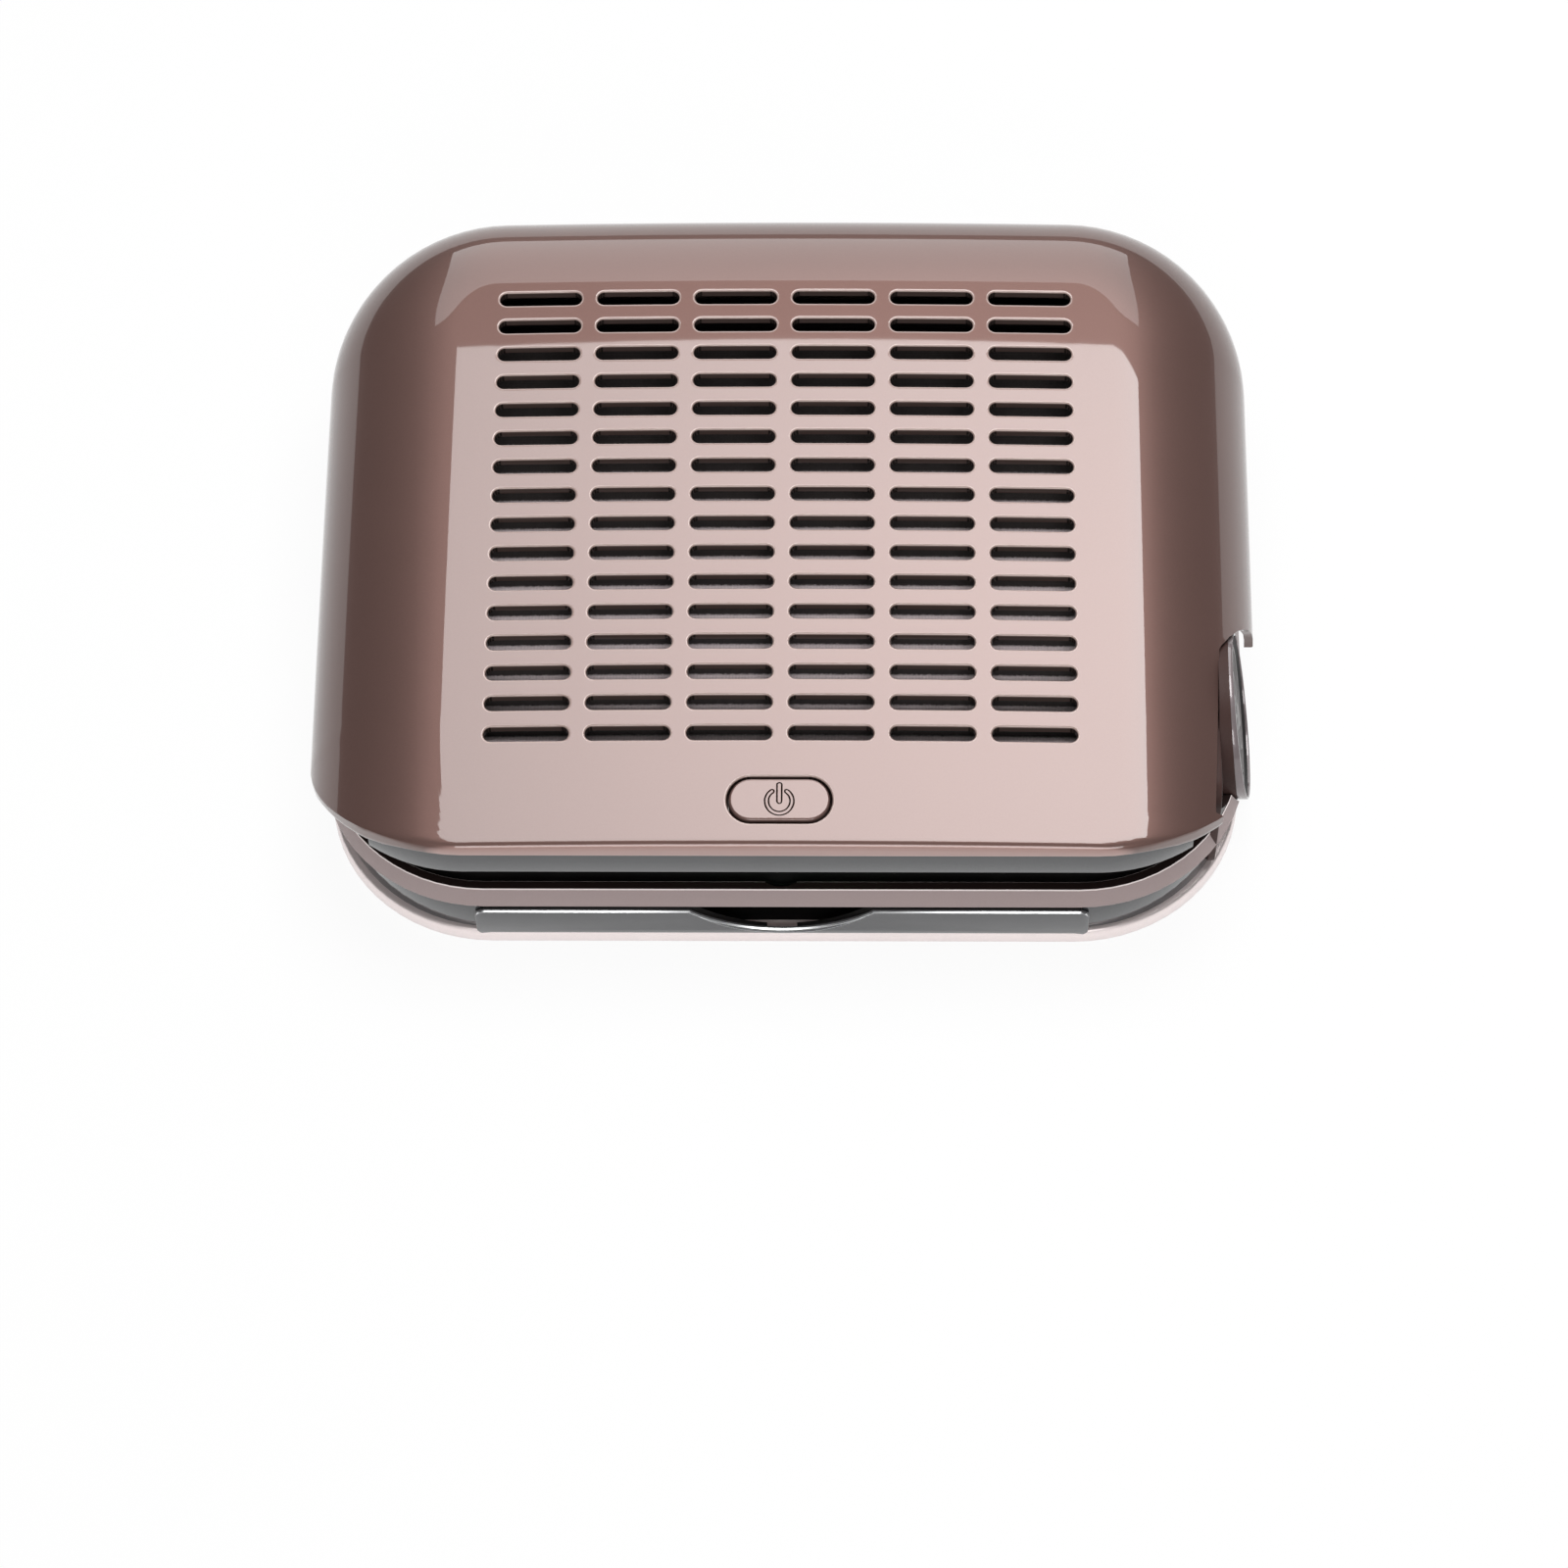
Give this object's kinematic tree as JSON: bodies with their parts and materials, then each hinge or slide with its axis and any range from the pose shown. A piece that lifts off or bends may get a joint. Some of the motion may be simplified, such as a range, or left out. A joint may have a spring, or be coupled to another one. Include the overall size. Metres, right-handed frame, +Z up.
{
  "type": "nail dust collector",
  "caption": "Desktop nail dust collector: slotted hinged hand-rest cover over a filter and blower, power button, side exhaust and a pull-out dust drawer.",
  "frame": {"origin": "on the surface the collector stands on, under the middle of its overall box", "axes": "+Z up, -Y towards the button, finger gap and drawer, +X towards the exhaust side"},
  "size_m": [0.2686, 0.2164, 0.0794],
  "materials": {
    "cover_paint": "glossy metallic rose paint with clear coat",
    "belt_paint": "glossy metallic rose paint",
    "button_paint": "glossy metallic rose paint with clear coat",
    "rim_paint": "pale rose satin paint",
    "band_gloss": "dark smoked gloss",
    "plinth_gloss": "dark smoked gloss",
    "drawer_gloss": "dark smoked gloss",
    "tray_plastic": "black moulded",
    "panel_plastic": "dark brown moulded",
    "grille_plastic": "black moulded",
    "screen_sheet": "pale woven sheet",
    "filter_sheet": "white pleated sheet",
    "inner_plastic": "black moulded",
    "fan_plastic": "black moulded",
    "socket_plastic": "black moulded",
    "board_green": "green circuit board",
    "copper": "wound copper",
    "lead_rubber": "black jacket",
    "foot_rubber": "matt rubber",
    "steel": "bright steel"
  },
  "bodies": {
    "base": {"base_plate": "rim_paint", "plinth_band": "plinth_gloss", "base_ring": "belt_paint", "mid_deck": "inner_plastic", "side_panel": "panel_plastic", "exhaust_grille": "grille_plastic", "plenum_box": "inner_plastic", "filter_frame": "inner_plastic", "filter_media": "filter_sheet", "dust_screen": "screen_sheet", "blower_scroll": "inner_plastic", "scroll_cover": "inner_plastic", "motor_stator": "copper", "bearing_lower": "steel", "bearing_upper": "steel", "drawer_rail_left": "inner_plastic", "drawer_rail_right": "inner_plastic", "dc_socket": "socket_plastic", "power_lead": "lead_rubber", "hinge_pin_left": "steel", "hinge_pin_right": "steel", "base_magnet_left": "steel", "base_magnet_right": "steel", "case_screw_back_left": "steel", "case_screw_back_right": "steel", "case_screw_front_left": "steel", "case_screw_front_right": "steel", "foot_back_left": "foot_rubber", "foot_back_right": "foot_rubber", "foot_front_left": "foot_rubber", "foot_front_right": "foot_rubber"},
    "cover": {"top_cover": "cover_paint", "front_band": "band_gloss", "control_board": "board_green", "tact_switch": "inner_plastic", "button_spring": "steel", "board_screw_left": "steel", "board_screw_right": "steel", "cover_magnet_left": "steel", "cover_magnet_right": "steel"},
    "button": {"power_button": "button_paint"},
    "drawer": {"drawer_front": "drawer_gloss", "drawer_tray": "tray_plastic"},
    "impeller": {"impeller": "fan_plastic", "rotor_ring": "steel", "motor_shaft": "steel"}
  },
  "joints": [
    {"name": "cover_hinge", "type": "hinge", "parent": "base", "child": "cover", "pos_m": [0, 0.1048, 0.02765], "axis": [-1, 0, 0], "range_deg": [0, 65]},
    {"name": "button_press", "type": "slide", "parent": "cover", "child": "button", "axis": [0, 0, -1], "range_m": [0, 0.001], "stiffness_N_per_m": 400, "springref_m": -0.002, "deforming": ["button_spring"]},
    {"name": "drawer_slide", "type": "slide", "parent": "base", "child": "drawer", "axis": [0, -1, 0], "range_m": [0, 0.085]},
    {"name": "impeller_spin", "type": "hinge", "parent": "base", "child": "impeller", "pos_m": [0.01, -0.00143, 0.0272], "axis": [0, 0, 1], "continuous": true}
  ]
}
